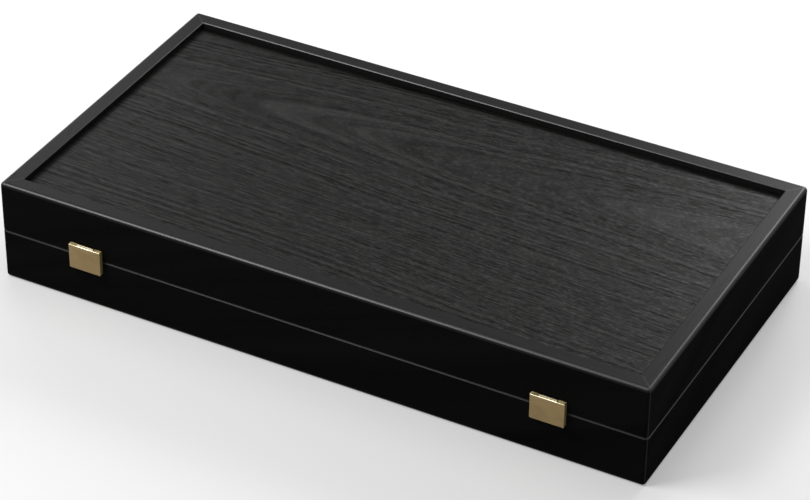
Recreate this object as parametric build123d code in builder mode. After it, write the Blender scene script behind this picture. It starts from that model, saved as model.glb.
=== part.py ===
from build123d import *
import os

# Folding backgammon board: two equal wooden halves, hinged at the back and closed in front by
# two brass latches. The sizes are in millimetres. The origin is under the middle of the closed
# case, X runs along the case, the latches face -Y and Z is up.

# The case
case_length = 480.0
case_width = 258.0
case_height = 76.4
wall = 12.0
seam_gap = 0.1
edge_round = 2.8
seam_bevel = 0.8
rim_bevel = 0.5
inner_bevel = 0.6

# Panels and playing fields
recess = 4.4
panel_thickness = 3.0
groove_depth = 4.0
panel_play = 0.5
field_thickness = 2.6
points_per_end = 6
point_gap = 2.0
point_length = 182.0
point_depth = 1.0

# Hinges
hinge_spread = 300.0
leaf_length = 40.0
leaf_reach = 9.5
leaf_thickness = 1.0
leaf_corner = 1.0
barrel_radius = 2.2
barrel_stand_off = 1.4
knuckle_count = 3
knuckle_gap = 0.15
hinge_pin_radius = 1.0
hinge_pin_head = 0.3
hinge_screw_pitch = 26.0

# Latches
latch_spread = 344.0
flap_width = 24.4
flap_height = 18.7
flap_top = 47.3
flap_proud = 3.6
flap_sheet = 0.5
flap_corner = 0.5
flap_bevel = 0.3
flap_round = 0.7
flap_back_gap = 0.2
pivot_drop = 0.9
flap_knuckle_radius = 1.35
plate_width = 21.0
plate_thickness = 0.8
plate_corner = 0.8
base_bottom = 39.6
base_shoulder = 44.9
knuckle_width = 12.7
base_knuckle_radius = 1.4
catch_bottom = 29.2
catch_top = 37.1
bead_height = 35.4
bead_width = 14.0
hook_height = 32.4
hook_thickness = 1.2
hook_gap = 1.9
latch_pin_radius = 0.6
latch_screw_pitch = 14.6
base_screw_height = 42.2
catch_screw_height = 31.8

# Screws, and the play of turning pins
hinge_head_radius = 2.1
hinge_shank_radius = 1.1
hinge_screw_length = 12.0
latch_head_radius = 1.6
latch_shank_radius = 0.8
latch_screw_length = 8.0
pilot_play = 0.1
head_play = 0.05
running_play = 0.05

# Playing pieces
checker_radius = 17.8
checker_thickness = 9.5
checker_pitch = 36.0
checkers_per_column = 5
die_size = 14.0
cube_size = 20.0
dice_bevel = 1.2
pip_radius = 1.25
pip_depth = 0.5
pip_spacing = 3.8
pip_sides = 8

os.makedirs("parts", exist_ok=True)

middle = case_height / 2
half_height = middle - seam_gap / 2
inner_length = case_length - 2 * wall
inner_width = case_width - 2 * wall
field_height = recess + panel_thickness + field_thickness
back = case_width / 2
front = -case_width / 2
hinge_axis_y = back + barrel_stand_off
hinge_places = {"left": -hinge_spread / 2, "right": hinge_spread / 2}
latch_places = {"left": -latch_spread / 2, "right": latch_spread / 2}
pivot_y = front - flap_back_gap - flap_knuckle_radius
pivot_z = flap_top - pivot_drop


def outer_plane(half, depth):
    """Plane at a depth from a half's outer face, facing into the case."""
    if half == "lower":
        return Plane.XY.offset(depth)
    return Plane(origin=(0, 0, case_height - depth), x_dir=(1, 0, 0), z_dir=(0, 0, -1))


def front_plane(x, height=0.0):
    """Plane on the front wall, facing out of it, with its origin at x and at a height."""
    return Plane(origin=(x, front, height), x_dir=(1, 0, 0), z_dir=(0, -1, 0))


def parting_plane(half, x, y):
    """Plane on a half's parting face at x and y, facing the other half."""
    if half == "lower":
        return Plane(origin=(x, y, half_height))
    return Plane(origin=(x, y, case_height - half_height), x_dir=(1, 0, 0), z_dir=(0, 0, -1))


def save(piece, name):
    piece.part.label = name
    export_step(piece.part, f"parts/{name}.step")


def hinge_screw_planes(half):
    y = back - leaf_reach / 2
    offsets = (-hinge_screw_pitch / 2, hinge_screw_pitch / 2)
    return [parting_plane(half, x + dx, y) for x in hinge_places.values() for dx in offsets]


def latch_screw_planes(height):
    offsets = (-latch_screw_pitch / 2, latch_screw_pitch / 2)
    return [front_plane(x + dx, height) for x in latch_places.values() for dx in offsets]


def knuckle_spans(half):
    """Middles of the knuckles that belong to one leaf, counted from the hinge's middle."""
    pitch = leaf_length / knuckle_count
    first = 0 if half == "lower" else 1
    return [(i + 0.5) * pitch - leaf_length / 2 for i in range(first, knuckle_count, 2)]


# Each half's frame is shaped whole, with its grooves and hinge pockets, and then cut along its
# mitres into four rails.

def half_frame(half):
    start = outer_plane(half, 0)
    with BuildPart() as frame:
        with BuildSketch(start):
            Rectangle(case_length, case_width)
        extrude(amount=half_height)
        rim_first, parting_first = (0, -1) if half == "lower" else (-1, 0)
        rim = frame.faces().sort_by(Axis.Z)[rim_first]
        fillet(rim.edges() + frame.edges().filter_by(Axis.Z), edge_round)
        parting = frame.faces().sort_by(Axis.Z)[parting_first]
        chamfer(parting.edges(), seam_bevel)
        with BuildSketch(start):
            Rectangle(inner_length, inner_width)
        extrude(amount=half_height, mode=Mode.SUBTRACT)

        # Bevels along the inner edges, round the recess of the outer panel and at the parting face
        with BuildSketch(start):
            Rectangle(inner_length + 2 * rim_bevel, inner_width + 2 * rim_bevel)
        extrude(amount=rim_bevel, taper=45, mode=Mode.SUBTRACT)
        with BuildSketch(outer_plane(half, half_height - inner_bevel)):
            Rectangle(inner_length, inner_width)
        extrude(amount=inner_bevel, taper=-45, mode=Mode.SUBTRACT)

        # Groove that holds the outer panel
        with BuildSketch(outer_plane(half, recess)):
            Rectangle(inner_length + 2 * groove_depth, inner_width + 2 * groove_depth)
        extrude(amount=panel_thickness, mode=Mode.SUBTRACT)

        # Pockets for the hinge leaves, with room for the barrel behind them
        for x in hinge_places.values():
            with BuildSketch(outer_plane(half, half_height - leaf_thickness)):
                with Locations((x, (back - leaf_reach) * (1 if half == "lower" else -1))):
                    side = Align.MIN if half == "lower" else Align.MAX
                    Rectangle(leaf_length, 2 * leaf_reach, align=(Align.CENTER, side))
            extrude(amount=2 * leaf_thickness, mode=Mode.SUBTRACT)
            with BuildSketch(Plane.YZ.offset(x - leaf_length / 2)):
                with Locations((hinge_axis_y, middle)):
                    Circle(barrel_radius + knuckle_gap)
            extrude(amount=leaf_length, mode=Mode.SUBTRACT)

        # Pilot holes for the screws of the hinges and latches
        with Locations(*hinge_screw_planes(half)):
            Hole(hinge_shank_radius - pilot_play, depth=leaf_thickness + hinge_screw_length)
        height = catch_screw_height if half == "lower" else base_screw_height
        with Locations(*latch_screw_planes(height)):
            Hole(latch_shank_radius - pilot_play, depth=latch_screw_length)
    return frame


def mitre_outlines():
    """Plan of each rail's share of the frame, cut at 45 degrees from the corners."""
    x, y = case_length / 2, case_width / 2
    ridge = x - y
    return {
        "front": [(-x, -y), (x, -y), (ridge, 0), (-ridge, 0)],
        "back": [(x, y), (-x, y), (-ridge, 0), (ridge, 0)],
        "left": [(-x, y), (-x, -y), (-ridge, 0)],
        "right": [(x, -y), (x, y), (ridge, 0)],
    }


for half in ("lower", "upper"):
    whole_frame = half_frame(half)
    for side, outline in mitre_outlines().items():
        with BuildPart() as rail:
            add(whole_frame.part)
            with BuildSketch(Plane.XY):
                Polygon(*outline, align=None)
            extrude(amount=case_height, mode=Mode.INTERSECT)
        save(rail, f"{half}_{side}_rail")


# Outer panels, loose in the grooves by the play that lets the wood move

for half in ("lower", "upper"):
    with BuildPart() as panel:
        with BuildSketch(outer_plane(half, recess)):
            tongue = 2 * (groove_depth - panel_play)
            Rectangle(inner_length + tongue, inner_width + tongue)
        extrude(amount=panel_thickness)
    save(panel, f"{half}_panel")


# Playing fields, with the points let in flush: six from each short end, light and dark by turns

point_pitch = inner_width / points_per_end
point_base = point_pitch - point_gap


def point_places(tone):
    """Middle of the base and heading of each point of one tone."""
    places = []
    for end, heading in ((1, 180), (-1, 0)):
        for i in range(points_per_end):
            light = (i + (end > 0)) % 2 == 0
            if light == (tone == "light"):
                y = (i - (points_per_end - 1) / 2) * point_pitch
                places.append(Location((end * inner_length / 2, y, 0), (0, 0, heading)))
    return places


def point_set(half, tone):
    with BuildPart() as points:
        with BuildSketch(outer_plane(half, field_height - point_depth)):
            with Locations(*point_places(tone)):
                Polygon((0, -point_base / 2), (point_length, 0), (0, point_base / 2), align=None)
        extrude(amount=point_depth)
    return points


for half in ("lower", "upper"):
    light_points = point_set(half, "light")
    dark_points = point_set(half, "dark")
    with BuildPart() as field:
        with BuildSketch(outer_plane(half, recess + panel_thickness)):
            Rectangle(inner_length, inner_width)
        extrude(amount=field_thickness)
        add(light_points.part, mode=Mode.SUBTRACT)
        add(dark_points.part, mode=Mode.SUBTRACT)
    save(field, f"{half}_field")
    save(light_points, f"{half}_light_points")
    save(dark_points, f"{half}_dark_points")


# Countersunk wood screws, with plain shanks for their threads

def screw_set(name, planes, head_radius, shank_radius, length):
    """Screws with their heads flush with the planes."""
    head_height = head_radius - shank_radius
    hanging = (Align.CENTER, Align.CENTER, Align.MAX)
    with BuildPart() as screws:
        with Locations(*planes):
            Cone(shank_radius, head_radius - head_play, head_height, align=hanging)
            with Locations((0, 0, -head_height)):
                Cylinder(shank_radius, length - head_height, align=hanging)
    save(screws, name)


for half in ("lower", "upper"):
    screw_set(
        f"{half}_hinge_screws", hinge_screw_planes(half),
        hinge_head_radius, hinge_shank_radius, hinge_screw_length,
    )

plate_screw_planes = {
    "latch_base_screws": latch_screw_planes(base_screw_height),
    "latch_catch_screws": latch_screw_planes(catch_screw_height),
}
for name, planes in plate_screw_planes.items():
    screw_set(
        name, [plane.offset(plate_thickness) for plane in planes],
        latch_head_radius, latch_shank_radius, latch_screw_length,
    )


# Butt hinges: each leaf lies in its pocket, and its knuckles share the pin behind the case

def hinge_leaf(half, x):
    other = "upper" if half == "lower" else "lower"
    knuckle_width_each = leaf_length / knuckle_count - knuckle_gap
    bore = hinge_pin_radius if half == "lower" else hinge_pin_radius + running_play
    with BuildPart() as leaf:
        with BuildSketch(parting_plane(half, x, 0).offset(-leaf_thickness)) as outline:
            sign = 1 if half == "lower" else -1
            with Locations((0, sign * (back - leaf_reach))):
                side = Align.MIN if half == "lower" else Align.MAX
                Rectangle(
                    leaf_length, leaf_reach + barrel_stand_off, align=(Align.CENTER, side)
                )
            inner_corners = outline.vertices().sort_by(Axis.Y)
            corners = inner_corners[:2] if half == "lower" else inner_corners[-2:]
            chamfer(corners, leaf_corner)
        extrude(amount=leaf_thickness)

        # Room for the other leaf's knuckles
        clear = barrel_radius + knuckle_gap
        for middle_x in knuckle_spans(other):
            with Locations((x + middle_x, hinge_axis_y, middle)):
                Box(leaf_length / knuckle_count + knuckle_gap, 2 * clear, 2 * clear, mode=Mode.SUBTRACT)

        # This leaf's own knuckles, bored for the pin
        for middle_x in knuckle_spans(half):
            with BuildSketch(Plane.YZ.offset(x + middle_x)):
                with Locations((hinge_axis_y, middle)):
                    Circle(barrel_radius)
            extrude(amount=knuckle_width_each / 2, both=True)
        with BuildSketch(Plane.YZ.offset(x)):
            with Locations((hinge_axis_y, middle)):
                Circle(bore)
        extrude(amount=leaf_length, both=True, mode=Mode.SUBTRACT)

        for plane in hinge_screw_planes(half):
            if abs(plane.origin.X - x) < leaf_length / 2:
                with Locations(plane):
                    CounterSinkHole(
                        hinge_shank_radius, hinge_head_radius, depth=leaf_thickness,
                        counter_sink_angle=90,
                    )
    return leaf


for place, x in hinge_places.items():
    for half in ("lower", "upper"):
        save(hinge_leaf(half, x), f"{place}_hinge_{half}_leaf")
    with BuildPart() as hinge_pin:
        with BuildSketch(Plane.YZ.offset(x)):
            with Locations((hinge_axis_y, middle)):
                Circle(hinge_pin_radius)
        extrude(amount=leaf_length / 2 + hinge_pin_head, both=True)
    save(hinge_pin, f"{place}_hinge_pin")


# Latches: a base plate on the upper half carries the pin that the flap turns on, and the flap
# hangs over a catch plate on the lower half

def side_sketch_plane(x):
    return Plane.YZ.offset(x)


def latch_base(x):
    with BuildPart() as base:
        with BuildSketch(front_plane(x, base_bottom)) as outline:
            Rectangle(plate_width, base_shoulder - base_bottom, align=(Align.CENTER, Align.MIN))
            chamfer(outline.vertices(), plate_corner)
        extrude(amount=plate_thickness)
        # The middle of the plate rises to the pin and is rolled forwards round it
        with BuildSketch(side_sketch_plane(x)):
            with Locations((front, pivot_z)):
                Rectangle(plate_thickness, pivot_z - base_bottom, align=(Align.MAX, Align.MAX))
            with Locations((pivot_y, pivot_z)):
                Circle(base_knuckle_radius)
        extrude(amount=knuckle_width / 2, both=True)
        with BuildSketch(side_sketch_plane(x)):
            with Locations((pivot_y, pivot_z)):
                Circle(latch_pin_radius + running_play)
        extrude(amount=knuckle_width, both=True, mode=Mode.SUBTRACT)
        for plane in latch_screw_planes(base_screw_height):
            if abs(plane.origin.X - x) < plate_width / 2:
                with Locations(plane.offset(plate_thickness)):
                    CounterSinkHole(
                        latch_shank_radius, latch_head_radius, depth=plate_thickness,
                        counter_sink_angle=90,
                    )
    return base


def latch_catch(x):
    with BuildPart() as catch:
        with BuildSketch(front_plane(x, catch_bottom)) as outline:
            Rectangle(plate_width, catch_top - catch_bottom, align=(Align.CENTER, Align.MIN))
            chamfer(outline.vertices(), plate_corner)
        extrude(amount=plate_thickness)
        with BuildSketch(side_sketch_plane(x)):
            with Locations((front - plate_thickness, bead_height)):
                Circle(plate_thickness)
        extrude(amount=bead_width / 2, both=True)
        for plane in latch_screw_planes(catch_screw_height):
            if abs(plane.origin.X - x) < plate_width / 2:
                with Locations(plane.offset(plate_thickness)):
                    CounterSinkHole(
                        latch_shank_radius, latch_head_radius, depth=plate_thickness,
                        counter_sink_angle=90,
                    )
    return catch


def latch_flap(x):
    flap_bottom = flap_top - flap_height
    inside = flap_proud - flap_sheet
    with BuildPart() as flap:
        with BuildSketch(front_plane(x, flap_bottom).offset(flap_back_gap)) as outline:
            Rectangle(flap_width, flap_height, align=(Align.CENTER, Align.MIN))
            chamfer(outline.vertices(), flap_corner)
        extrude(amount=flap_proud - flap_back_gap)
        face_edges = flap.faces().sort_by(Axis.Y)[0].edges().sort_by(Axis.Z)
        fillet(face_edges[-1], flap_round)
        chamfer(flap.faces().sort_by(Axis.Y)[0].edges().sort_by(Axis.Z)[:-1], flap_bevel)

        # Hollow behind the front, open at the top, with a lip along the bottom
        with BuildSketch(front_plane(x, flap_bottom + flap_sheet)):
            Rectangle(flap_width - 2 * flap_sheet, flap_height, align=(Align.CENTER, Align.MIN))
        extrude(amount=inside, mode=Mode.SUBTRACT)
        with BuildSketch(front_plane(x, flap_bottom - flap_sheet)):
            Rectangle(flap_width - 2 * flap_sheet, flap_height, align=(Align.CENTER, Align.MIN))
        extrude(amount=hook_gap, mode=Mode.SUBTRACT)

        # Its own two knuckles, one each side of the base plate's
        knuckle_start = knuckle_width / 2 + knuckle_gap
        for direction in (-1, 1):
            with BuildSketch(side_sketch_plane(x + direction * knuckle_start)):
                with Locations((pivot_y, pivot_z)):
                    Circle(flap_knuckle_radius)
                    reach = front - pivot_y - flap_proud + flap_sheet / 2
                    Rectangle(-reach, 2 * flap_knuckle_radius, align=(Align.MAX, Align.CENTER))
            extrude(amount=direction * (flap_width / 2 - knuckle_start))

        # Cheeks rounded about the pin, so that the flap turns clear of the wall, and flat on top
        with BuildSketch(side_sketch_plane(x)):
            with Locations((pivot_y, pivot_z)):
                Rectangle(2 * flap_proud, 2 * flap_proud, align=(Align.MIN, Align.MIN))
                Circle(flap_knuckle_radius, mode=Mode.SUBTRACT)
            with Locations((pivot_y, flap_top)):
                Rectangle(2 * flap_proud, flap_proud, align=(Align.CENTER, Align.MIN))
        extrude(amount=flap_width, both=True, mode=Mode.SUBTRACT)

        # Hook that snaps under the bead of the catch plate
        with BuildSketch(front_plane(x, hook_height).offset(hook_gap)):
            Rectangle(bead_width, hook_thickness)
        extrude(amount=inside - hook_gap + flap_sheet / 2)

        with BuildSketch(side_sketch_plane(x)):
            with Locations((pivot_y, pivot_z)):
                Circle(latch_pin_radius)
        extrude(amount=flap_width, both=True, mode=Mode.SUBTRACT)
    return flap


for place, x in latch_places.items():
    save(latch_base(x), f"{place}_latch_base")
    save(latch_catch(x), f"{place}_latch_catch")
    save(latch_flap(x), f"{place}_latch_flap")
    with BuildPart() as latch_pin:
        with BuildSketch(side_sketch_plane(x)):
            with Locations((pivot_y, pivot_z)):
                Circle(latch_pin_radius)
        extrude(amount=flap_width / 2, both=True)
    save(latch_pin, f"{place}_latch_pin")


# Checkers, in three columns of five at each end

column_start = (inner_length - checker_pitch) / 2
checker_columns = {"dark": (-1, (0, 1, 2)), "light": (1, (3, 4, 5))}

for tone, (end, columns) in checker_columns.items():
    spots = [
        (end * (column_start - place * checker_pitch), (i - (points_per_end - 1) / 2) * point_pitch)
        for i in columns for place in range(checkers_per_column)
    ]
    with BuildPart() as checkers:
        with BuildSketch(Plane.XY.offset(field_height)):
            with Locations(*spots):
                Circle(checker_radius)
        extrude(amount=checker_thickness)
    save(checkers, f"{tone}_checkers")


# Dice with drilled pips, and the doubling cube

def pip_spots(count):
    step = pip_spacing
    spots = [(0, 0)] if count % 2 else []
    if count > 1:
        spots += [(-step, -step), (step, step)]
    if count > 3:
        spots += [(-step, step), (step, -step)]
    if count == 6:
        spots += [(-step, 0), (step, 0)]
    return spots


with BuildPart() as die:
    Box(die_size, die_size, die_size)
    chamfer(die.edges(), dice_bevel)
    faces = {1: (0, 0, 1), 6: (0, 0, -1), 2: (0, -1, 0), 5: (0, 1, 0), 3: (1, 0, 0), 4: (-1, 0, 0)}
    for count, normal in faces.items():
        inwards = Plane(origin=Vector(*normal) * die_size / 2, z_dir=Vector(*normal) * -1)
        with BuildSketch(inwards):
            with Locations(*pip_spots(count)):
                RegularPolygon(pip_radius, pip_sides)
        extrude(amount=pip_depth, taper=45, mode=Mode.SUBTRACT)

# Each die's place, its heading on the field and the quarter turns that bring a number up
dice_places = {
    "die_1": ((-15, -38), 20, (0, 0)),
    "die_2": ((10, -50), -32, (90, 0)),
}
for name, ((x, y), heading, (tip_x, tip_y)) in dice_places.items():
    on_field = Location((x, y, field_height + die_size / 2), (0, 0, heading))
    with BuildPart() as thrown_die:
        with Locations(on_field * Location((0, 0, 0), (tip_x, tip_y, 0))):
            add(die.part)
    save(thrown_die, name)

with BuildPart() as doubling_cube:
    with Locations(Location((0, 42, field_height + cube_size / 2), (0, 0, 8))):
        Box(cube_size, cube_size, cube_size)
    chamfer(doubling_cube.edges(), dice_bevel)
save(doubling_cube, "doubling_cube")
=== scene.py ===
import math

import bpy
from mathutils import Matrix, Vector


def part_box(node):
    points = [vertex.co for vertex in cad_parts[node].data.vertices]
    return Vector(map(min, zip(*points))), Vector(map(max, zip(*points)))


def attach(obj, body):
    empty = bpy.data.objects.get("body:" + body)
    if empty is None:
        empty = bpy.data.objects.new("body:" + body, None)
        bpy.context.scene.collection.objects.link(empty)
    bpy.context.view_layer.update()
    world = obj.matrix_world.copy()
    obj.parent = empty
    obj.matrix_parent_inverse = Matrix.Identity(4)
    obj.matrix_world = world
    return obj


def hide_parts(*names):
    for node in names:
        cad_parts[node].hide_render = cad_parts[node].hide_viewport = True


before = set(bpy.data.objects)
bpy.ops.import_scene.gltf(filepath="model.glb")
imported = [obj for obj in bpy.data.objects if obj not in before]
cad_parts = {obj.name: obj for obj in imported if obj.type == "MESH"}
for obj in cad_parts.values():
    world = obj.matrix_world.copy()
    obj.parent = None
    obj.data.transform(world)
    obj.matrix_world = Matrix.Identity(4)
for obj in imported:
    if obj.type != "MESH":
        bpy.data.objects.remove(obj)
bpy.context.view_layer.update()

MM = 0.001
HALVES = ("lower", "upper")
ENDS = ("left", "right")

# Each half of the case, read from the frame: its middle and its half size
half_boxes = {}
for half in HALVES:
    low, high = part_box(f"{half}_left_rail")[0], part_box(f"{half}_right_rail")[1]
    half_boxes[half] = ((low + high) / 2, (high - low) / 2)
case_centre = (half_boxes["lower"][0] + half_boxes["upper"][0]) / 2
seam_height = half_boxes["upper"][0].z - half_boxes["upper"][1].z
field_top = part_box("lower_field")[1].z


# Building node trees

def put(tree, kind, inputs=None, **settings):
    """A node in the tree, with its settings, and its inputs set to values or linked to sockets."""
    made = tree.nodes.new(kind)
    for name, value in settings.items():
        setattr(made, name, value)
    for name, value in (inputs or {}).items():
        socket = made.inputs[name]
        if isinstance(value, bpy.types.NodeSocket):
            tree.links.new(value, socket)
        else:
            socket.default_value = value
    return made


def maths(tree, operation, *values, clamp=False):
    inputs = dict(enumerate(values))
    return put(tree, "ShaderNodeMath", inputs, operation=operation, use_clamp=clamp).outputs[0]


def vector_maths(tree, operation, *values):
    inputs = dict(enumerate(values))
    return put(tree, "ShaderNodeVectorMath", inputs, operation=operation).outputs["Vector"]


def times(tree, first, second):
    return maths(tree, "MULTIPLY", first, second)


def add_share(tree, value, mask, share):
    """The value with a share of the mask added."""
    return maths(tree, "ADD", value, times(tree, mask, share))


def split(tree, vector):
    """A vector's sockets X, Y and Z."""
    return put(tree, "ShaderNodeSeparateXYZ", {"Vector": vector}).outputs


def combine(tree, **axes):
    """A vector from X, Y and Z, of which those left out are 0."""
    return put(tree, "ShaderNodeCombineXYZ", axes).outputs["Vector"]


def noise(tree, vector, scale, detail=3.0, roughness=0.5, distortion=0.0, output="Fac"):
    return put(
        tree, "ShaderNodeTexNoise",
        {"Vector": vector, "Scale": scale, "Detail": detail, "Roughness": roughness,
         "Distortion": distortion},
    ).outputs[output]


def ramp(tree, factor, low, high, start=0.0, end=1.0):
    """A value that runs from start to end as the factor runs from low to high."""
    return put(
        tree, "ShaderNodeMapRange",
        {"Value": factor, "From Min": low, "From Max": high, "To Min": start, "To Max": end},
        interpolation_type="SMOOTHSTEP",
    ).outputs["Result"]


def blend_colours(tree, factor, first, second, mode="MIX"):
    # On a Mix node set to colours, sockets 0, 6 and 7 are the factor and the two colours
    inputs = {0: factor, 6: first, 7: second}
    return put(tree, "ShaderNodeMix", inputs, data_type="RGBA", blend_type=mode).outputs[2]


def tint(tree, colour, mask, share, other, mode="MIX"):
    """The colour blended towards another by a share of the mask."""
    return blend_colours(tree, times(tree, mask, share), colour, other, mode)


def rgb(red, green, blue):
    return (red, green, blue, 1.0)


def scaled(tone, strength):
    return rgb(*[min(1.0, channel * strength) for channel in tone[:3]])


def new_group(name, inputs, outputs):
    """An empty node group with named inputs and outputs, and its input and output nodes."""
    group = bpy.data.node_groups.new(name, "ShaderNodeTree")
    for label, kind, value in inputs:
        socket = group.interface.new_socket(
            label, in_out="INPUT", socket_type="NodeSocket" + kind)
        socket.default_value = value
    for label in outputs:
        group.interface.new_socket(label, in_out="OUTPUT", socket_type="NodeSocketFloat")
    given = group.nodes.new("NodeGroupInput").outputs
    gives = group.nodes.new("NodeGroupOutput").inputs
    return group, given, gives


def make_wood_figure():
    """Wood with its grain along X: growth figure, fine fibres, and open pores."""
    waves_per_m = (5.0, 14.0, 14.0)
    arch_rounding, arch_climb, ring_slant = 0.022, 0.22, 0.6
    streaks_per_m = (80.0, 850.0, 850.0)
    pore_gathering, pore_edge, edge_drop, edge_softness = 0.25, 0.80, 0.4, 0.07
    group, given, gives = new_group(
        "wood_figure",
        [
            ("Vector", "Vector", (0, 0, 0)), ("Ring Density", "Float", 190.0),
            ("Arch", "Float", 9.0), ("Arch Middle", "Vector", (0, 0, 0)),
            ("Pore Length", "Float", 12.0), ("Pore Width", "Float", 0.35),
            ("Pore Amount", "Float", 0.5), ("Waviness", "Float", 0.004),
        ],
        ["Figure", "Fibre", "Pores"],
    )
    place = vector_maths(group, "SUBTRACT", given["Vector"], given["Arch Middle"])
    # The board's slow waves bend every line of the grain alike
    waves = vector_maths(group, "MULTIPLY", place, waves_per_m)
    waves = noise(group, waves, 1.0, detail=2.0, output="Color")
    waves = vector_maths(group, "SUBTRACT", waves, (0.5, 0.5, 0.5))
    bend = put(group, "ShaderNodeVectorMath", {0: waves, "Scale": given["Waviness"]},
               operation="SCALE").outputs["Vector"]
    axes = split(group, vector_maths(group, "ADD", place, bend))

    # Growth rings cut at a slant: nested arches in the middle, running straight at the sides
    across = times(group, axes["Y"], given["Arch"])
    ring = maths(group, "ADD", times(group, across, across), arch_rounding)
    ring = maths(group, "SQRT", ring)
    ring = maths(group, "SUBTRACT", ring, times(group, axes["X"], arch_climb))
    ring = add_share(group, ring, axes["Z"], ring_slant)
    sideways = maths(group, "DIVIDE", ring, given["Arch"])
    flow = combine(group, X=axes["X"], Y=sideways, Z=axes["Z"])
    coarse = noise(
        group, combine(group, X=ring), given["Ring Density"], detail=4.0, roughness=0.6)
    group.links.new(ramp(group, coarse, 0.3, 0.7), gives["Figure"])

    # Fibres: long fine streaks that follow the rings
    streaks = vector_maths(group, "MULTIPLY", flow, streaks_per_m)
    streaks = noise(group, streaks, 1.0, detail=5.0, roughness=0.65)
    group.links.new(ramp(group, streaks, 0.25, 0.75), gives["Fibre"])

    # Pores: short open lines, gathered where the figure is dark
    per_length = maths(group, "DIVIDE", 1 / MM, given["Pore Length"])
    per_width = maths(group, "DIVIDE", 1 / MM, given["Pore Width"])
    stretch = combine(group, X=per_length, Y=per_width, Z=per_width)
    cells = vector_maths(group, "MULTIPLY", flow, stretch)
    cells = noise(group, cells, 0.5, detail=1.5)
    dark = maths(group, "SUBTRACT", 0.5, coarse)
    gathered = add_share(group, cells, dark, pore_gathering)
    drop = times(group, given["Pore Amount"], edge_drop)
    edge = maths(group, "SUBTRACT", pore_edge, drop)
    pores = ramp(group, gathered, edge, maths(group, "ADD", edge, edge_softness))
    # None stand open where the arches turn
    from_turn = maths(group, "ABSOLUTE", across)
    pores = times(group, pores, ramp(group, from_turn, 0.03, 0.10))
    group.links.new(pores, gives["Pores"])
    return group


def make_box_edges():
    """How near a point on a box-shaped piece is to the box's edges, with a broken outline."""
    breaks_per_m = 160.0
    group, given, gives = new_group(
        "box_edges",
        [
            ("Vector", "Vector", (0, 0, 0)), ("Centre", "Vector", (0, 0, 0)),
            ("Half Size", "Vector", (1, 1, 1)), ("Width", "Float", 0.001),
            ("Breaks", "Float", 0.5),
        ],
        ["Mask"],
    )
    offset = vector_maths(group, "SUBTRACT", given["Vector"], given["Centre"])
    offset = vector_maths(group, "ABSOLUTE", offset)
    x, y, z = split(group, vector_maths(group, "SUBTRACT", given["Half Size"], offset))
    # An edge is near where the second least of the three distances to the faces is small
    least = maths(group, "MINIMUM", maths(group, "MINIMUM", x, y), z)
    most = maths(group, "MAXIMUM", maths(group, "MAXIMUM", x, y), z)
    total = maths(group, "ADD", maths(group, "ADD", x, y), z)
    second = maths(group, "SUBTRACT", maths(group, "SUBTRACT", total, least), most)
    distance = maths(group, "DIVIDE", second, given["Width"])
    near = maths(group, "SUBTRACT", 1.0, distance, clamp=True)
    broken = noise(group, given["Vector"], breaks_per_m, detail=4.0, roughness=0.6)
    broken = ramp(group, broken, 0.35, 0.65)
    kept = maths(group, "SUBTRACT", 1.0, times(group, given["Breaks"], broken))
    group.links.new(times(group, near, kept), gives["Mask"])
    return group


def make_handling():
    """Traces of use: faint smudges, fine dust and hair scratches."""
    specks_per_m = 420.0
    scratch_turn, scratch_stretch = (0.3, 0.2, 0.62), (0.35, 9.0, 9.0)
    group, given, gives = new_group(
        "handling",
        [("Vector", "Vector", (0, 0, 0)), ("Smudge Size", "Float", 0.05),
         ("Scratch Scale", "Float", 60.0)],
        ["Smudges", "Dust", "Scratches"],
    )
    per_smudge = maths(group, "DIVIDE", 1.0, given["Smudge Size"])
    smudges = noise(
        group, given["Vector"], per_smudge, detail=5.0, roughness=0.55, distortion=0.6)
    group.links.new(ramp(group, smudges, 0.4, 0.75), gives["Smudges"])
    specks = put(group, "ShaderNodeTexVoronoi",
                 {"Vector": given["Vector"], "Scale": specks_per_m, "Randomness": 1.0},
                 feature="F1").outputs["Distance"]
    group.links.new(ramp(group, specks, 0.10, 0.03), gives["Dust"])
    hair = put(group, "ShaderNodeMapping",
               {"Vector": given["Vector"], "Rotation": scratch_turn}).outputs[0]
    hair = vector_maths(group, "MULTIPLY", hair, scratch_stretch)
    hair = noise(group, hair, given["Scratch Scale"], detail=2.0)
    group.links.new(ramp(group, hair, 0.70, 0.74), gives["Scratches"])
    return group


WOOD_FIGURE = make_wood_figure()
BOX_EDGES = make_box_edges()
HANDLING = make_handling()


def use_group(tree, group, inputs):
    return put(tree, "ShaderNodeGroup", inputs, node_tree=group).outputs


def start_material(name):
    """An empty material with a Principled surface and the piece's own coordinates."""
    material = bpy.data.materials.new(name)
    material.use_nodes = True
    tree = material.node_tree
    tree.nodes.clear()
    surface = put(tree, "ShaderNodeBsdfPrincipled")
    put(tree, "ShaderNodeOutputMaterial", {"Surface": surface.outputs[0]})
    place = put(tree, "ShaderNodeTexCoord").outputs["Object"]
    return material, tree, surface, place


def dress(tree, surface, colour, rough, height, depth, strength=1.0):
    """The surface's colour and roughness, and its relief to a depth in metres."""
    tree.links.new(colour, surface.inputs["Base Color"])
    tree.links.new(rough, surface.inputs["Roughness"])
    relief = put(tree, "ShaderNodeBump",
                 {"Height": height, "Distance": depth, "Strength": strength}).outputs[0]
    tree.links.new(relief, surface.inputs["Normal"])


def glaze_over(tree, surface, glaze, coat_roughness):
    """Sheen from a glaze of varying strength alone."""
    tree.links.new(glaze, surface.inputs["Coat Weight"])
    surface.inputs["Specular IOR Level"].default_value = 0.0
    surface.inputs["Coat Roughness"].default_value = coat_roughness


def turned_to_x(tree, place, heading):
    """Coordinates in which a grain with this heading in degrees runs along X."""
    rotation = (0, 0, math.radians(-heading))
    return put(tree, "ShaderNodeMapping", {"Vector": place, "Rotation": rotation}).outputs[0]


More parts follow.
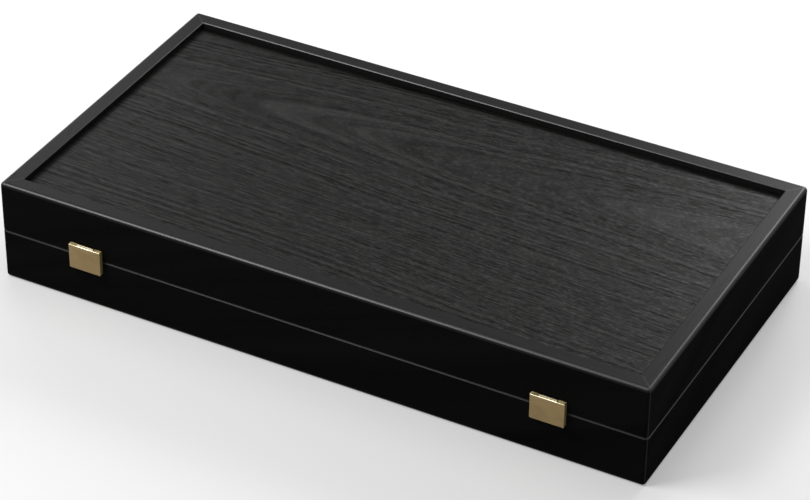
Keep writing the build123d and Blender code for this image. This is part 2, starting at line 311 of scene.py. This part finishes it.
def facing_along(tree, axis):
    """How far the surface faces along an axis of its piece, from -1 to 1."""
    return split(tree, put(tree, "ShaderNodeTexCoord").outputs["Normal"])[axis]


def grain_relief(tree, grain, fibre_height):
    """Raised fibres with the pores sunk between them."""
    fibres = times(tree, grain["Fibre"], fibre_height)
    return maths(tree, "SUBTRACT", fibres, grain["Pores"])


# Finishes

LACQUER_DARK, LACQUER_LIGHT = rgb(0.0035, 0.0035, 0.0036), rgb(0.0065, 0.0063, 0.0061)
LACQUER_PORES, LACQUER_WEAR_AND_GLINT = rgb(0.002, 0.002, 0.002), rgb(0.05, 0.048, 0.045)
DUST = rgb(0.3, 0.3, 0.3)
VENEER_DARK, VENEER_LIGHT = rgb(0.0022, 0.0021, 0.0019), rgb(0.0048, 0.0045, 0.0041)
VENEER_FIBRE, VENEER_PORES = rgb(0.010, 0.0093, 0.0086), rgb(0.004, 0.0038, 0.0036)
PLAIN_BRASS, FLAP_BRASS = rgb(0.42, 0.33, 0.17), rgb(0.287, 0.206, 0.101)
BASE_BRASS, BARE_BRASS_HIGHLIGHT = rgb(0.20, 0.15, 0.08), rgb(0.95, 0.86, 0.62)
CHEEK_TONE, EDGE_TOP_PAINTED_LIGHT = rgb(0.21, 0.175, 0.075), rgb(0.55, 0.45, 0.22)
MAPLE_POINTS = (rgb(0.50, 0.37, 0.22), rgb(0.66, 0.52, 0.35))
WALNUT_POINTS = (rgb(0.10, 0.048, 0.024), rgb(0.20, 0.105, 0.055))
MAPLE_CHECKERS = (rgb(0.52, 0.39, 0.24), rgb(0.68, 0.55, 0.38))
WALNUT_CHECKERS = (rgb(0.045, 0.022, 0.012), rgb(0.10, 0.05, 0.028))
IVORY, BLACK_PAINT = rgb(0.78, 0.72, 0.58), rgb(0.012, 0.012, 0.014)


def rail_finish(name, half, along, polish, seam_polish, wall_painted_light):
    """Rails: black lacquer, dull on the walls, glossier on the flats and the polished arrises."""
    material, tree, surface, place = start_material(name)
    middle, half_size = half_boxes[half]
    grain = use_group(tree, WOOD_FIGURE, {
        "Vector": turned_to_x(tree, place, {"x": 0, "y": 90}[along]),
        "Ring Density": 60.0, "Arch": 4.0, "Arch Middle": (0.0, 0.2, 0.0),
        "Pore Length": 5.0, "Pore Width": 0.22, "Pore Amount": 0.35,
    })
    use = use_group(tree, HANDLING, {"Vector": place, "Smudge Size": 0.07})
    edges = use_group(tree, BOX_EDGES, {
        "Vector": place, "Centre": middle, "Half Size": half_size,
        "Width": 1.3 * MM, "Breaks": 0.4,
    })["Mask"]
    colour = blend_colours(tree, grain["Figure"], LACQUER_DARK, LACQUER_LIGHT)
    colour = tint(tree, colour, grain["Pores"], 0.5, LACQUER_PORES)
    # Edges lightened: partly wear, partly a painted highlight along the arrises
    colour = tint(tree, colour, edges, 0.35, LACQUER_WEAR_AND_GLINT)
    colour = tint(tree, colour, use["Dust"], 0.03, DUST)

    spot = split(tree, place)
    upward = maths(tree, "ABSOLUTE", facing_along(tree, "Z"))
    flats = ramp(tree, upward, 0.05, 0.35, start=0.02, end=0.24)
    # The arrises are polished, apart from the narrow bevels along the seam
    arrises = times(tree, ramp(tree, upward, 0.55, 0.70), ramp(tree, upward, 0.99, 0.955))
    if along == "y":
        # On the short rails the inner ones are duller
        outward = times(tree, facing_along(tree, "X"), maths(tree, "SIGN", spot["X"]))
        arrises = times(tree, arrises, ramp(tree, outward, -0.2, 0.2, start=0.4))
    from_seam = maths(tree, "SUBTRACT", spot["Z"], seam_height)
    from_seam = maths(tree, "ABSOLUTE", from_seam)
    polish_and_glint = ramp(tree, from_seam, 1.0 * MM, 2.0 * MM, start=seam_polish, end=polish)
    glaze = maths(tree, "ADD", flats, times(tree, arrises, polish_and_glint))

    # Hair-thin lines where the mitres meet
    inward = vector_maths(tree, "SUBTRACT", half_size, vector_maths(tree, "ABSOLUTE", place))
    inward = split(tree, inward)
    from_mitre = maths(tree, "SUBTRACT", inward["X"], inward["Y"])
    from_mitre = maths(tree, "ABSOLUTE", from_mitre)
    mitres = ramp(tree, from_mitre, 0.6 * MM, 0.1 * MM, end=0.22)
    glaze = maths(tree, "ADD", glaze, mitres)

    # The upright walls round the recess and inside the case are painted greyer as painted light,
    # with more sheen
    depth_in = maths(tree, "MINIMUM", inward["X"], inward["Y"])
    upright = ramp(tree, upward, 0.3, 0.05)
    recess = times(tree, ramp(tree, depth_in, 5 * MM, 7 * MM), upright)
    colour = blend_colours(tree, recess, colour, rgb(wall_painted_light, wall_painted_light, wall_painted_light))
    glaze = add_share(tree, glaze, recess, 0.09)
    pores = times(tree, grain["Pores"], 0.12)
    glaze = maths(tree, "SUBTRACT", glaze, pores, clamp=True)

    rough = add_share(tree, 0.40, use["Smudges"], 0.07)
    rough = add_share(tree, rough, grain["Fibre"], 0.06)
    dress(tree, surface, colour, rough, grain_relief(tree, grain, 0.35), 0.02 * MM)
    glaze_over(tree, surface, glaze, coat_roughness=0.34)
    return material


def panel_finish(name):
    """Panels and fields: black-stained open-pored veneer, its arches just behind the middle."""
    material, tree, surface, place = start_material(name)
    grain = use_group(tree, WOOD_FIGURE, {
        "Vector": turned_to_x(tree, place, 0.5), "Ring Density": 85.0, "Arch": 4.0,
        "Arch Middle": (0.0, 0.051, 0.0), "Pore Length": 7.0, "Pore Width": 0.42,
        "Pore Amount": 0.62, "Waviness": 0.010,
    })
    use = use_group(tree, HANDLING, {"Vector": place, "Smudge Size": 0.12})
    colour = blend_colours(tree, grain["Figure"], VENEER_DARK, VENEER_LIGHT)
    colour = tint(tree, colour, grain["Fibre"], 0.45, VENEER_FIBRE)
    colour = tint(tree, colour, grain["Pores"], 0.7, VENEER_PORES)
    rough = add_share(tree, 0.46, grain["Pores"], 0.25)
    rough = add_share(tree, rough, use["Smudges"], 0.05)

    # The figure shows by its sheen: a varying thin glaze over nearly black wood
    specks_per_m = (280.0, 950.0, 950.0)
    specks = vector_maths(tree, "MULTIPLY", place, specks_per_m)
    specks = ramp(tree, noise(tree, specks, 1.0, detail=1.5), 0.48, 0.68)
    stronger = ramp(tree, split(tree, place)["X"], -0.15, 0.05, start=0.07, end=0.16)
    glaze = add_share(tree, 0.095, grain["Figure"], 0.20)
    glaze = add_share(tree, glaze, grain["Fibre"], 0.07)
    glaze = add_share(tree, glaze, specks, stronger)
    closed = maths(tree, "SUBTRACT", 1.0, times(tree, grain["Pores"], 0.45))
    glaze = times(tree, glaze, closed)
    dress(tree, surface, colour, rough, grain_relief(tree, grain, 0.4), 0.10 * MM, strength=0.8)
    glaze_over(tree, surface, glaze, coat_roughness=0.38)
    return material


def inlay_finish(name, tones, heading=0.0, gloss=0.36):
    """Fine satin wood for the points and checkers, between a dark and a light tone."""
    material, tree, surface, place = start_material(name)
    dark, light = tones
    grain = use_group(tree, WOOD_FIGURE, {
        "Vector": turned_to_x(tree, place, heading), "Ring Density": 150.0, "Arch": 3.0,
        "Arch Middle": (0.0, 0.4, 0.0), "Pore Length": 4.0, "Pore Width": 0.2,
        "Pore Amount": 0.4,
    })
    use = use_group(tree, HANDLING, {"Vector": place, "Smudge Size": 0.04})
    colour = blend_colours(tree, grain["Figure"], dark, light)
    colour = tint(tree, colour, grain["Pores"], 0.55, scaled(dark, 0.45))
    colour = tint(tree, colour, grain["Fibre"], 0.2, light, "SOFT_LIGHT")
    rough = add_share(tree, gloss, use["Smudges"], 0.10)
    dress(tree, surface, colour, rough, grain_relief(tree, grain, 0.3), 0.03 * MM)
    return material


def brass_finish(name, tone, brush=(30.0, 1500.0, 1500.0), polish_and_glint=None, sheet_box=None):
    """Satin brass with fine brush lines, darkened in places.

    rubbed says where it is polished and painted bright as a highlight, by four values of how far
    the surface faces up or down: where the polish starts, is full, starts to fade and is gone.
    sheet_box is the box of a pressed sheet whose edges are painted brighter, partly as wear and
    partly as a painted highlight; its cheeks get an olive tone and its flat top edges a brighter
    tone as painted light, both rougher.
    """
    material, tree, surface, place = start_material(name)
    lines = vector_maths(tree, "MULTIPLY", place, brush)
    lines = noise(tree, lines, 1.0, detail=4.0, roughness=0.6)
    use = use_group(tree, HANDLING, {
        "Vector": place, "Smudge Size": 0.012, "Scratch Scale": 260.0,
    })
    colour = tint(tree, tone, use["Smudges"], 0.5, scaled(tone, 0.68))
    rough = add_share(tree, 0.26, lines, 0.14)
    rough = add_share(tree, rough, use["Smudges"], 0.10)
    if polish_and_glint or sheet_box:
        upward = maths(tree, "ABSOLUTE", facing_along(tree, "Z"))
    if sheet_box:
        low, high = sheet_box
        edges = use_group(tree, BOX_EDGES, {
            "Vector": place, "Centre": (low + high) / 2, "Half Size": (high - low) / 2,
            "Width": 0.5 * MM, "Breaks": 0.3,
        })["Mask"]
        # The sheet's edges painted brighter: partly wear, partly a painted highlight
        colour = tint(tree, colour, edges, 0.8, scaled(tone, 1.5))
    if polish_and_glint:
        # Polished, and painted bright as a highlight where the surface faces this way
        starts, full, fades, gone = polish_and_glint
        bare_and_highlight = times(tree, ramp(tree, upward, starts, full), ramp(tree, upward, gone, fades))
        colour = blend_colours(tree, bare_and_highlight, colour, BARE_BRASS_HIGHLIGHT)
    if sheet_box:
        # The cheeks get an olive tone, and the sheet's flat top edges a brighter tone as painted
        # light; both are made rougher
        sideways = maths(tree, "ABSOLUTE", facing_along(tree, "X"))
        cheeks = ramp(tree, sideways, 0.5, 0.9)
        edge_faces = ramp(tree, upward, 0.98, 0.999)
        colour = blend_colours(tree, cheeks, colour, CHEEK_TONE)
        colour = blend_colours(tree, edge_faces, colour, EDGE_TOP_PAINTED_LIGHT)
        rough = add_share(tree, rough, maths(tree, "ADD", cheeks, edge_faces), 0.35)
    scratches = times(tree, use["Scratches"], 0.6)
    height = maths(tree, "SUBTRACT", lines, scratches)
    dress(tree, surface, colour, rough, height, 0.01 * MM, strength=0.6)
    surface.inputs["Metallic"].default_value = 1.0
    return material


def resin_finish(name, tone):
    """Polished resin with a faint cloud in it, for the dice, the cube and their paint."""
    material, tree, surface, place = start_material(name)
    cloud = ramp(tree, noise(tree, place, 90.0), 0.3, 0.7)
    use = use_group(tree, HANDLING, {
        "Vector": place, "Smudge Size": 0.01, "Scratch Scale": 400.0,
    })
    colour = blend_colours(tree, cloud, tone, scaled(tone, 0.9))
    rough = add_share(tree, 0.16, use["Smudges"], 0.12)
    dress(tree, surface, colour, rough, use["Scratches"], 0.004 * MM, strength=0.5)
    return material


def turned_finishes(name, tones):
    """The same wood at several headings, for checkers that lie each its own way."""
    return [
        inlay_finish(f"{name}_{i}", tones, heading, gloss=0.3)
        for i, heading in enumerate((12.0, 71.0, 128.0))
    ]


def finish_node(name, material):
    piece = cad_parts[name]
    piece.data.materials.clear()
    piece.data.materials.append(material)


panel_black = panel_finish("panel_black_veneer")
field_black = panel_finish("field_black_veneer")
maple = inlay_finish("maple_points", MAPLE_POINTS)
walnut = inlay_finish("walnut_points", WALNUT_POINTS)
maple_turned = turned_finishes("maple_checkers", MAPLE_CHECKERS)
walnut_turned = turned_finishes("walnut_checkers", WALNUT_CHECKERS)
hinge_brass = brass_finish("hinge_brass", PLAIN_BRASS)
base_brass = brass_finish("base_brass", BASE_BRASS, polish_and_glint=(0.86, 0.96, 1.1, 1.2))
screw_brass = brass_finish("screw_brass", PLAIN_BRASS, brush=(900.0, 900.0, 900.0))
ivory_resin = resin_finish("ivory_resin", IVORY)
black_paint = resin_finish("black_paint", BLACK_PAINT)
flap_brass = {
    side: brass_finish(f"{side}_flap_brass", FLAP_BRASS, polish_and_glint=(0.25, 0.5, 0.97, 0.999),
                       sheet_box=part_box(f"{side}_latch_flap"))
    for side in ENDS
}

for half in HALVES:
    long_rails = rail_finish(
        f"rail_black_{half}_long", half, "x", polish=0.66, seam_polish=0.15, wall_painted_light=0.014)
    short_rails = rail_finish(
        f"rail_black_{half}_short", half, "y", polish=0.4, seam_polish=0.36, wall_painted_light=0.007)
    for side, finish in (
        ("front", long_rails), ("back", long_rails), ("left", short_rails), ("right", short_rails),
    ):
        finish_node(f"{half}_{side}_rail", finish)
    finish_node(f"{half}_panel", panel_black)
    finish_node(f"{half}_field", field_black)
    finish_node(f"{half}_light_points", maple)
    finish_node(f"{half}_dark_points", walnut)
    finish_node(f"{half}_hinge_screws", screw_brass)

for side in ENDS:
    finish_node(f"{side}_latch_flap", flap_brass[side])
    finish_node(f"{side}_latch_base", base_brass)
    for piece in ("latch_catch", "latch_pin", "hinge_lower_leaf", "hinge_upper_leaf", "hinge_pin"):
        finish_node(f"{side}_{piece}", hinge_brass)

for name, finish in (
    ("latch_base_screws", screw_brass), ("latch_catch_screws", screw_brass),
    ("light_checkers", maple_turned[0]), ("dark_checkers", walnut_turned[0]),
    ("die_1", ivory_resin), ("die_2", ivory_resin), ("doubling_cube", ivory_resin),
):
    finish_node(name, finish)


# Modelling: a primitive shaped in edit mode, then copied into its places

def select_only(*pieces):
    """Everything deselected apart from these pieces, and the first of them active."""
    bpy.ops.object.select_all(action="DESELECT")
    for piece in pieces:
        piece.select_set(True)
    if pieces:
        bpy.context.view_layer.objects.active = pieces[0]


def edit_faces(piece, wanted):
    """Edit mode with only the faces selected whose middle and normal pass the test."""
    select_only(piece)
    bpy.context.tool_settings.mesh_select_mode = (False, False, True)
    for element in list(piece.data.vertices) + list(piece.data.edges):
        element.select = False
    for face in piece.data.polygons:
        face.select = wanted(face.center, face.normal)
    bpy.ops.object.mode_set(mode="EDIT")


def every_face(middle, normal):
    return True


def leave_edit():
    bpy.ops.object.mode_set(mode="OBJECT")


def finished_start(name, material):
    """The primitive that was just added, named and given its material."""
    piece = bpy.context.active_object
    piece.name = piece.data.name = name
    piece.data.materials.append(material)
    return piece


def smooth(piece, degrees=30.0):
    select_only(piece)
    bpy.ops.object.shade_smooth_by_angle(angle=math.radians(degrees))


def apply_modifier(piece, modifier):
    bpy.context.view_layer.objects.active = piece
    bpy.ops.object.modifier_apply(modifier=modifier.name)


def cut(piece, cutter):
    """Take the cutter's shape out of the piece."""
    knife = piece.modifiers.new("cut", "BOOLEAN")
    knife.operation, knife.solver, knife.object = "DIFFERENCE", "EXACT", cutter
    apply_modifier(piece, knife)
    bpy.data.objects.remove(cutter)


def join(pieces):
    select_only(*pieces)
    bpy.ops.object.join()
    return pieces[0]


def copy_into_place(pattern, name, place, body, node):
    """A copy with its own mesh, its place in the mesh, on its body and in its node's stead."""
    piece = pattern.copy()
    piece.data = pattern.data.copy()
    piece.name = piece.data.name = name
    bpy.context.collection.objects.link(piece)
    piece.data.transform(place)
    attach(piece, body)
    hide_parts(node)
    return piece


def move(x, y, z):
    """A move in millimetres."""
    return Matrix.Translation((x * MM, y * MM, z * MM))


def turn(degrees, axis):
    return Matrix.Rotation(math.radians(degrees), 4, axis)


def turned_checker(radius, height):
    """A turned checker: rounded rim, a cut ring and a shallow dish on both faces."""
    select_only()
    bpy.ops.mesh.primitive_cylinder_add(
        vertices=64, radius=radius * MM, depth=height * MM, end_fill_type="NGON")
    checker = finished_start("checker_pattern", maple_turned[0])
    rim_round = 1.8
    edit_faces(checker, lambda middle, normal: abs(normal.z) > 0.9)
    bpy.ops.mesh.bevel(offset=rim_round * MM, segments=4, affect="EDGES")
    leave_edit()
    # The two flat faces alone, whose middles lie on the axis
    edit_faces(
        checker, lambda middle, normal: abs(normal.z) > 0.9 and middle.xy.length < 1 * MM)
    # From the rim to the middle, how wide each step is and how far it rises
    ring_steps = ((2.0, 0.0), (0.4, -0.5), (0.3, 0.0), (0.4, 0.4))
    dish_steps = ((1.0, 0.0), (1.2, -0.3), (2.6, -0.35), (3.4, -0.2), (3.0, 0.0))
    for width, rise in ring_steps + dish_steps:
        bpy.ops.mesh.inset(thickness=width * MM, depth=rise * MM)
    leave_edit()
    smooth(checker)
    return checker


def place_checkers():
    """Fifteen of each tone, in three rows of five, in opposite quarters of the lower half."""
    height = 9.5
    first_x, column_step, first_y, row_step = 66, 36, 19.5, 39
    pattern = turned_checker(17.8, height)
    for tone, end, finishes in (("light", 1, maple_turned), ("dark", -1, walnut_turned)):
        for i in range(15):
            row, column = divmod(i, 5)
            spot = move(
                end * (first_x + column_step * column), end * (first_y + row_step * row),
                field_top / MM + height / 2)
            checker = copy_into_place(
                pattern, f"{tone}_checker_{i + 1:02d}", spot,
                "lower_half", f"{tone}_checkers")
            checker.data.materials[0] = finishes[(2 * row + column) % len(finishes)]
    bpy.data.objects.remove(pattern)


def rounded_cube(name, size, rounding):
    """A resin cube with rounded edges, its sizes in millimetres."""
    select_only()
    bpy.ops.mesh.primitive_cube_add(size=size * MM)
    cube = finished_start(name, ivory_resin)
    edit_faces(cube, every_face)
    bpy.ops.mesh.bevel(offset=rounding * MM, segments=5, affect="EDGES")
    leave_edit()
    return cube


def drilled_die(size):
    """A rounded die with painted pips drilled into its faces."""
    rounding, ball, pip_depth, out = 1.8, 1.8, 0.5, 3.8
    die = rounded_cube("die_pattern", size, rounding)
    die.data.materials.append(black_paint)
    middle_pip, diagonal = [(0, 0)], [(-out, -out), (out, out)]
    corners = diagonal + [(-out, out), (out, -out)]
    faces = (
        (turn(0, "Z"), middle_pip), (turn(180, "X"), corners + [(-out, 0), (out, 0)]),
        (turn(90, "X"), diagonal), (turn(-90, "X"), corners + middle_pip),
        (turn(90, "Y"), diagonal + middle_pip), (turn(-90, "Y"), corners),
    )
    height = (size / 2 + ball - pip_depth) * MM
    spots = [
        facing @ Vector((x * MM, y * MM, height)) for facing, places in faces for x, y in places
    ]
    balls = []
    for spot in spots:
        select_only()
        bpy.ops.mesh.primitive_uv_sphere_add(
            segments=24, ring_count=16, radius=ball * MM, location=spot)
        balls.append(bpy.context.active_object)
    cut(die, join(balls))

    def in_a_pip(middle, normal):
        # Below the outer faces, and on the wall that a ball left
        sunk = max(abs(offset) for offset in middle) < (size / 2 - 0.001) * MM
        return sunk and any((middle - spot).length < (ball + 0.02) * MM for spot in spots)

    edit_faces(die, in_a_pip)
    die.active_material_index = 1
    bpy.ops.object.material_slot_assign()
    leave_edit()
    smooth(die)
    return die


def place_dice():
    size = 14.0
    pattern = drilled_die(size)
    for name, x, y, heading, tip in (("die_1", -15, -38, 20, 0), ("die_2", 10, -50, -32, 90)):
        spot = move(x, y, field_top / MM + size / 2) @ turn(heading, "Z") @ turn(tip, "X")
        copy_into_place(pattern, f"ivory_{name}", spot, "lower_half", name)
    bpy.data.objects.remove(pattern)


def raised_number(number, place):
    """A number of the doubling cube, its middle at the place and facing its Z."""
    one_digit, two_digits, boldness, relief = 14.0, 11.5, 0.35, 0.03
    select_only()
    bpy.ops.object.text_add()
    figure = bpy.context.active_object
    figure.data.body = number
    figure.data.size = (one_digit if len(number) == 1 else two_digits) * MM
    figure.data.offset = boldness * MM
    figure.data.extrude = relief * MM
    bpy.ops.object.convert(target="MESH")
    figure = bpy.context.active_object
    middle = sum((Vector(corner) for corner in figure.bound_box), Vector()) / 8
    figure.data.transform(place @ Matrix.Translation(-middle))
    return figure


def place_doubling_cube():
    size = 20.0
    pattern = rounded_cube("cube_pattern", size, 2.0)
    smooth(pattern)
    spot = move(0, 42, field_top / MM + size / 2) @ turn(8, "Z")
    copy_into_place(pattern, "ivory_doubling_cube", spot, "lower_half", "doubling_cube")
    bpy.data.objects.remove(pattern)
    upright = turn(90, "X")
    sides = (
        ("64", turn(0, "Z")), ("2", upright), ("4", turn(90, "Z") @ upright),
        ("8", turn(180, "Z") @ upright), ("16", turn(-90, "Z") @ upright), ("32", turn(180, "X")),
    )
    numbers = join([
        raised_number(number, spot @ facing @ move(0, 0, size / 2)) for number, facing in sides
    ])
    numbers.name = numbers.data.name = "doubling_cube_numbers"
    numbers.data.materials.clear()
    numbers.data.materials.append(black_paint)
    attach(numbers, "lower_half")


def slotted_screw(head, shank, length):
    """A countersunk screw under the plane z = 0, with a slot and a thread of ridges.

    head and shank are radii, in millimetres as the length is.
    """
    disc, ridges, groove_ratio, tip_ratio = 0.1, 6, 0.72, 0.12
    neck_share, thread_share, tip_share = 0.10, 0.75, 0.15
    sink = head - shank
    straight = length - sink
    # The cutter's middle is on the plane, so the slot is half as deep as it is high
    slot_length, slot_width, slot_height = 2.4 * head, 0.26 * head, 0.5 * sink
    select_only()
    bpy.ops.mesh.primitive_cylinder_add(
        vertices=32, radius=head * MM, depth=disc * MM, location=(0, 0, -disc / 2 * MM),
        end_fill_type="NGON")
    screw = finished_start("screw_pattern", screw_brass)
    bpy.ops.object.transform_apply(location=True)
    edit_faces(screw, lambda middle, normal: normal.z < -0.9)

    def step(down, ratio):
        bpy.ops.mesh.extrude_region_move(
            TRANSFORM_OT_translate={"value": (0, 0, -down * MM)})
        bpy.ops.transform.resize(value=(ratio, ratio, 1), center_override=(0, 0, 0))

    step(sink - disc, shank / head)
    pitch = straight * thread_share / ridges
    step(straight * neck_share, 1.0)
    for ridge in range(ridges):
        step(pitch / 2, groove_ratio)
        step(pitch / 2, 1 / groove_ratio)
    step(straight * tip_share, tip_ratio)
    leave_edit()
    select_only()
    slot_size = (slot_length * MM, slot_width * MM, slot_height * MM)
    bpy.ops.mesh.primitive_cube_add(size=1.0, scale=slot_size, location=(0, 0, 0))
    cut(screw, bpy.context.active_object)
    smooth(screw, 35.0)
    return screw


def place_screws():
    """Four screws for each group, their slots turned as the screwdriver left them."""
    down, up, inward = turn(0, "X"), turn(180, "X"), turn(90, "X")
    hinge_screw, latch_screw = (2.05, 1.1, 12.0), (1.55, 0.8, 8.0)
    # Node, body, screw, a pair's middle and half its spacing along X, y and z, way it points
    groups = (
        ("lower_hinge_screws", "lower_half", hinge_screw, 150, 13, (124.25, 38.15), down),
        ("upper_hinge_screws", "upper_half", hinge_screw, 150, 13, (124.25, 38.25), up),
        ("latch_base_screws", "upper_half", latch_screw, 172, 7.3, (-129.8, 42.2), inward),
        ("latch_catch_screws", "lower_half", latch_screw, 172, 7.3, (-129.8, 31.8), inward),
    )
    slot_angles = (24, 103, 151, 66, 8, 131, 47, 88)
    for g, (node, body, sizes, far, near, (y, z), facing) in enumerate(groups):
        pattern = slotted_screw(*sizes)
        screws = []
        for i, x in enumerate((-far - near, -far + near, far - near, far + near)):
            angle = slot_angles[(i + 3 * g) % len(slot_angles)]
            place = move(x, y, z) @ facing @ turn(angle, "Z")
            screws.append(copy_into_place(
                pattern, f"slotted_{node}_{i}", place, body, node))
        joined = join(screws)
        joined.name = joined.data.name = f"slotted_{node}"
        bpy.data.objects.remove(pattern)


def rounded_flap(side):
    """A latch flap with its pressed edges rounded over."""
    weld, edge_round, flat_within, edge_beyond, smooth_within = 0.002, 0.14, 1.0, 32, 40.0
    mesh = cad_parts[f"{side}_latch_flap"].data.copy()
    flap = bpy.data.objects.new(f"{side}_brass_flap", mesh)
    mesh.name = flap.name
    bpy.context.collection.objects.link(flap)
    edit_faces(flap, every_face)
    bpy.ops.mesh.remove_doubles(threshold=weld * MM)
    bpy.ops.mesh.normals_make_consistent(inside=False)
    bpy.ops.mesh.dissolve_limited(angle_limit=math.radians(flat_within))
    leave_edit()
    soft = flap.modifiers.new("soft", "BEVEL")
    soft.width, soft.segments = edge_round * MM, 3
    soft.limit_method, soft.angle_limit = "ANGLE", math.radians(edge_beyond)
    apply_modifier(flap, soft)
    smooth(flap, smooth_within)
    mesh.materials.clear()
    mesh.materials.append(flap_brass[side])
    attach(flap, f"{side}_latch")
    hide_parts(f"{side}_latch_flap")


place_checkers()
place_dice()
place_doubling_cube()
place_screws()
for side in ENDS:
    rounded_flap(side)


# The studio: a pale floor, soft lamps and the photographed view

FLOOR_SIZE, FLOOR_TONE, FLOOR_LIFT = 8.0, rgb(0.66, 0.66, 0.66), 0.26
WHITE, WORLD_LIGHT = rgb(1, 1, 1), 0.25
SENSOR_WIDTH, LENS = 36.0, 140.013
CAMERA_PLACE, CAMERA_TURN = (0.81918, -1.56205, 1.25264), (55.1099, -0.4854, 27.9834)
# Name, place, width, height and brightness
LAMPS = (
    ("edge_lamp_front_left", (-0.72, -0.65, 1.24), 0.7, 0.45, 9.5),
    ("overhead_softbox", (0.0, 0.1, 1.5), 1.2, 1.2, 0.6),
    ("back_left_softbox", (-1.1, 1.1, 0.95), 0.6, 0.5, 0.85),
    ("left_end_softbox", (-0.80, 0.55, 0.45), 0.4, 0.4, 1.65),
    ("back_middle_softbox", (-0.55, 1.1, 0.95), 0.5, 0.5, 0.5),
    ("back_right_softbox", (0.0, 1.1, 0.72), 0.35, 0.35, 6.5),
    ("back_right_key", (0.25, 1.15, 0.78), 0.5, 0.5, 7.5),
)


def seen_directly(tree):
    """1 for what the camera sees, also in metal and glass; 0 for light that falls on the case."""
    rays = put(tree, "ShaderNodeLightPath").outputs
    mirrored = maths(tree, "MAXIMUM", rays["Is Glossy Ray"], rays["Is Transmission Ray"])
    return maths(tree, "MAXIMUM", rays["Is Camera Ray"], mirrored)


def studio_floor():
    select_only()
    bpy.ops.mesh.primitive_plane_add(size=FLOOR_SIZE, location=(0, 0, 0))
    floor = bpy.context.active_object
    floor.name = "studio_floor"
    material = bpy.data.materials.new("floor_white")
    material.use_nodes = True
    tree = material.node_tree
    tree.nodes.clear()
    paper = put(tree, "ShaderNodeBsdfDiffuse", {"Color": FLOOR_TONE}).outputs[0]
    lift = put(tree, "ShaderNodeEmission", {"Color": WHITE, "Strength": FLOOR_LIFT}).outputs[0]
    lifted = put(tree, "ShaderNodeMixShader", {0: seen_directly(tree), 2: lift}).outputs[0]
    both = put(tree, "ShaderNodeAddShader", {0: paper, 1: lifted}).outputs[0]
    put(tree, "ShaderNodeOutputMaterial", {"Surface": both})
    floor.data.materials.append(material)


def studio_world():
    world = bpy.data.worlds.new("studio")
    bpy.context.scene.world = world
    world.use_nodes = True
    tree = world.node_tree
    tree.nodes.clear()
    dim, white = (
        put(tree, "ShaderNodeBackground", {"Color": WHITE, "Strength": strength}).outputs[0]
        for strength in (WORLD_LIGHT, 1.0)
    )
    mixed = put(tree, "ShaderNodeMixShader", {0: seen_directly(tree), 1: dim, 2: white}).outputs[0]
    put(tree, "ShaderNodeOutputWorld", {"Surface": mixed})


def soft_lamp(name, place, width, height, brightness):
    """A rectangular lamp facing the case; at a brightness of 1 its mirror image is near white."""
    data = bpy.data.lights.new(name, "AREA")
    data.shape = "RECTANGLE"
    data.size, data.size_y = width, height
    data.energy = 4 * width * height * brightness
    lamp = bpy.data.objects.new(name, data)
    bpy.context.collection.objects.link(lamp)
    lamp.location = place
    lamp.rotation_euler = (case_centre - lamp.location).to_track_quat("-Z", "Y").to_euler()


def photograph_camera():
    data = bpy.data.cameras.new("camera")
    data.sensor_width, data.lens = SENSOR_WIDTH, LENS
    data.clip_end = 50.0
    camera = bpy.data.objects.new("camera", data)
    bpy.context.collection.objects.link(camera)
    camera.location = CAMERA_PLACE
    camera.rotation_euler = [math.radians(degrees) for degrees in CAMERA_TURN]
    bpy.context.scene.camera = camera


studio_floor()
studio_world()
for lamp in LAMPS:
    soft_lamp(*lamp)
photograph_camera()
bpy.context.scene.view_settings.view_transform = "Standard"
